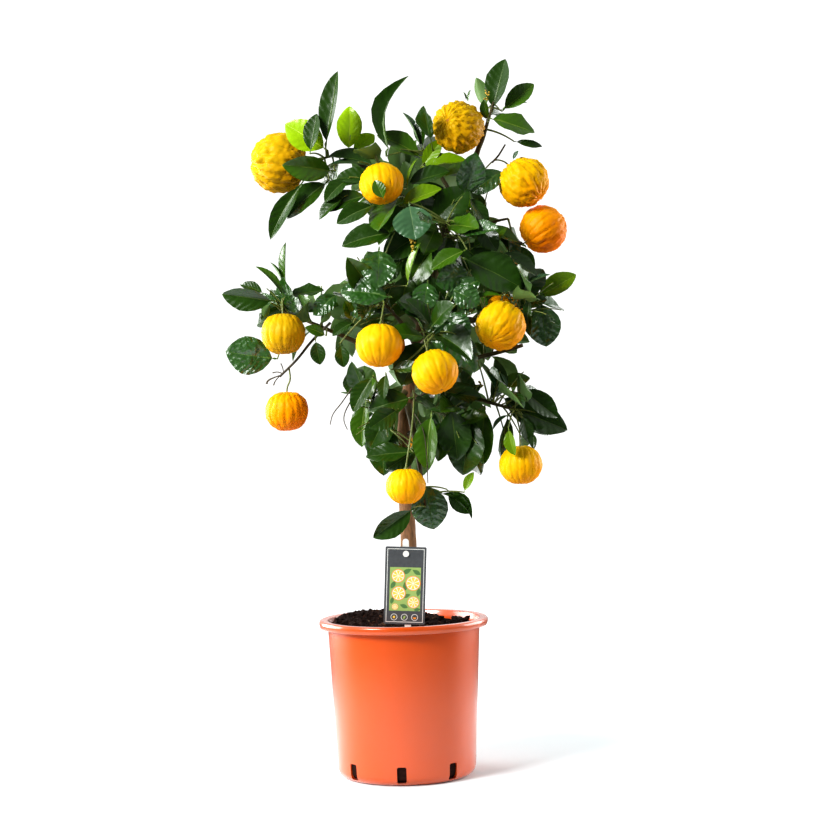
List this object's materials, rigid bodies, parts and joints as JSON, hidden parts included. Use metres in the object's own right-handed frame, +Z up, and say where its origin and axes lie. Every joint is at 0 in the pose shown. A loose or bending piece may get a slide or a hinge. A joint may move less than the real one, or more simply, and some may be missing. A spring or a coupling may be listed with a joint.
{
  "type": "potted bitter orange tree",
  "caption": "Small standard citrus tree with deeply ribbed orange fruit and glossy leaves, in a round plastic nursery pot with a plant label on a stake.",
  "frame": {"origin": "centre of the pot's flat underside, on the surface that the pot stands on", "axes": "+Z up along the trunk, -Y to the side with the label and most of the fruit, +X to the right of that view"},
  "size_m": [0.4609, 0.3484, 0.9284],
  "materials": {
    "pot_plastic": "semi-gloss terracotta-coloured plastic",
    "bark_compost": "loose moist bark compost",
    "label_card": "printed plastic card",
    "label_stake": "satin white plastic",
    "bark": "light brown bark with fine furrows",
    "foliage": "glossy dark green leaves with rough orange fruit"
  },
  "bodies": {
    "root": {"pot": "pot_plastic", "soil": "bark_compost", "label_card": "label_card", "label_stake": "label_stake", "trunk": "bark", "bough_back_left": "bark", "bough_back_low": "bark", "bough_back_middle": "bark", "bough_back_right": "bark", "bough_back_top": "bark", "bough_back_upper": "bark", "bough_bare": "bark", "bough_front": "bark", "bough_left": "bark", "bough_low_left": "bark", "bough_low_middle": "bark", "bough_low_right": "bark", "bough_middle_left": "bark", "bough_right": "bark", "bough_right_upper": "bark", "bough_skirt": "bark", "bough_top_centre": "bark", "bough_top_left": "bark", "bough_top_middle": "bark", "bough_upper_front": "bark", "foliage_back_left": "foliage", "foliage_back_low": "foliage", "foliage_back_middle": "foliage", "foliage_back_right": "foliage", "foliage_back_top": "foliage", "foliage_back_upper": "foliage", "foliage_front": "foliage", "foliage_left": "foliage", "foliage_low_left": "foliage", "foliage_low_middle": "foliage", "foliage_low_right": "foliage", "foliage_middle_left": "foliage", "foliage_right": "foliage", "foliage_right_upper": "foliage", "foliage_skirt": "foliage", "foliage_tip": "foliage", "foliage_top_centre": "foliage", "foliage_top_left": "foliage", "foliage_top_middle": "foliage", "foliage_upper_front": "foliage"}
  },
  "joints": []
}
